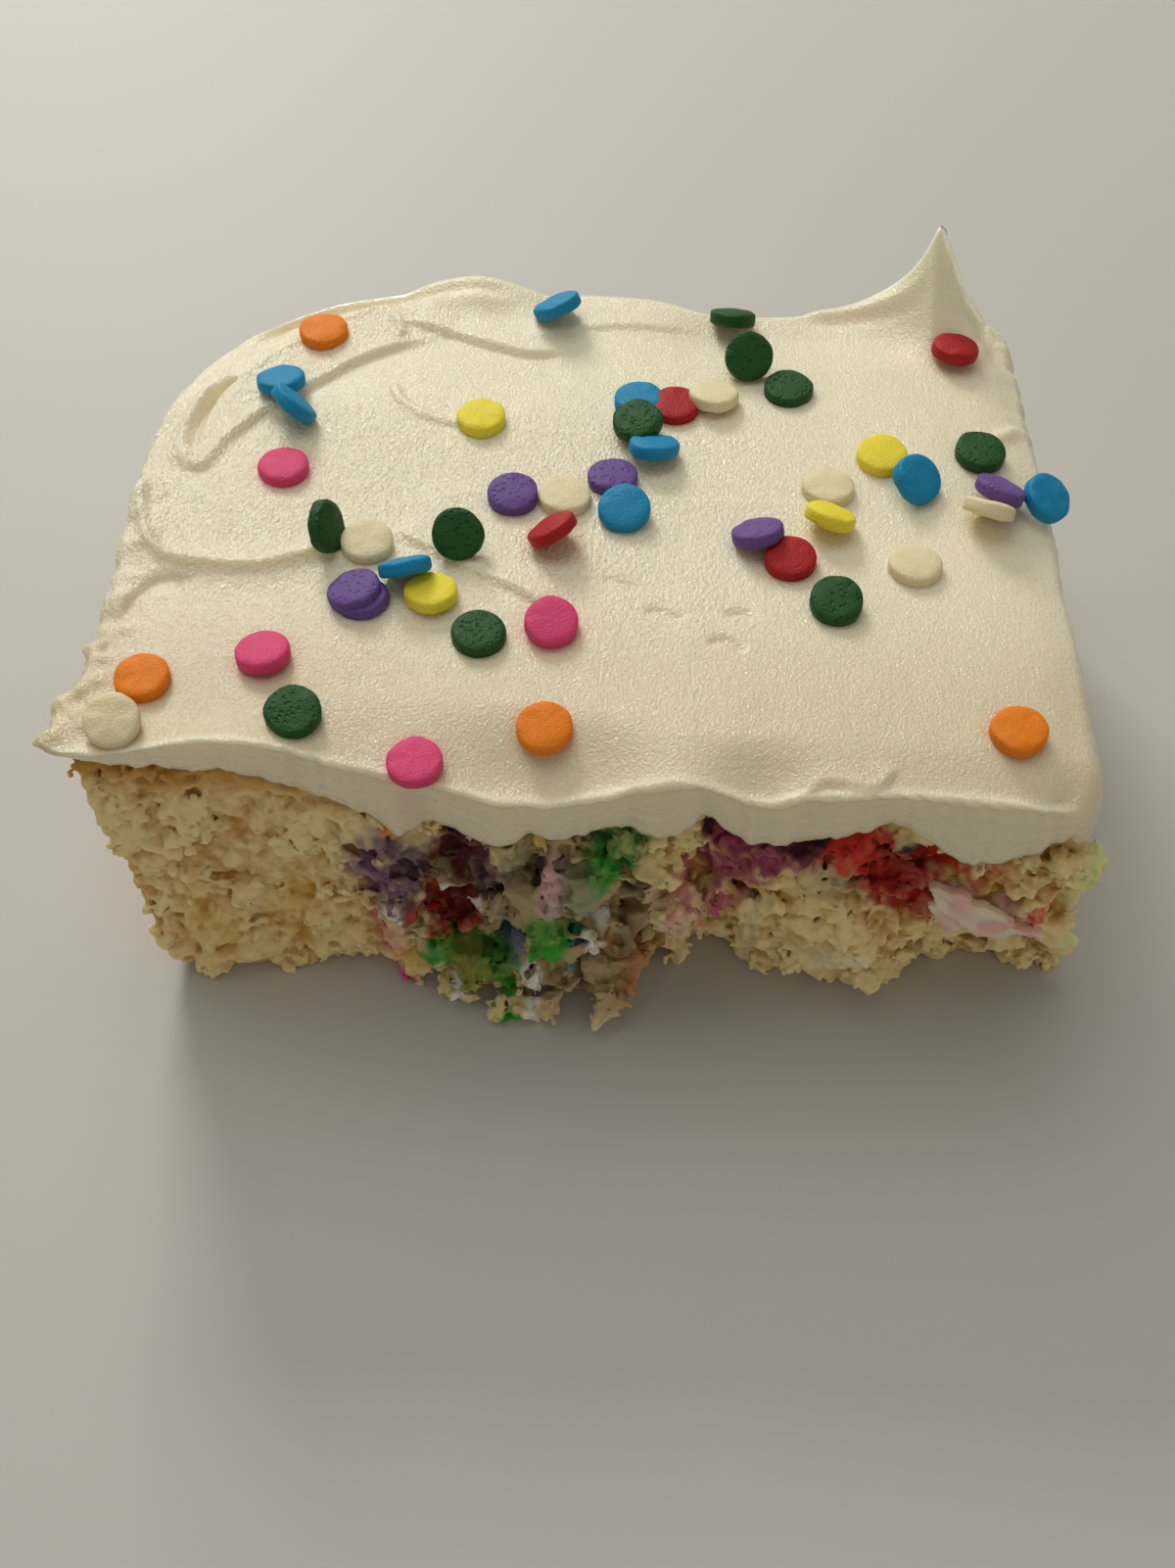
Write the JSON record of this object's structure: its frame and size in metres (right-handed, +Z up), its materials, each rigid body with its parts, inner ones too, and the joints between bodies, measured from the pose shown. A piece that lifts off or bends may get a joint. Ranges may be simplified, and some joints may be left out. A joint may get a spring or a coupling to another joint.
{
  "type": "iced sheet cake slice",
  "caption": "Corner piece of vanilla sheet cake with a thick buttercream layer and scattered pressed sugar discs, torn open along its front cut.",
  "frame": {"origin": "middle of the flat underside of the piece", "axes": "+X runs along the torn front cut from the pan side to the clean cut, +Y away from the front cut, +Z up out of the icing"},
  "size_m": [0.0955, 0.0664, 0.0433],
  "materials": {
    "crumb": "matte open cake crumb, golden where it touched the pan",
    "buttercream": "soft satin ivory buttercream"
  },
  "bodies": {
    "root": {"sponge": "crumb", "icing": "buttercream"}
  },
  "joints": []
}
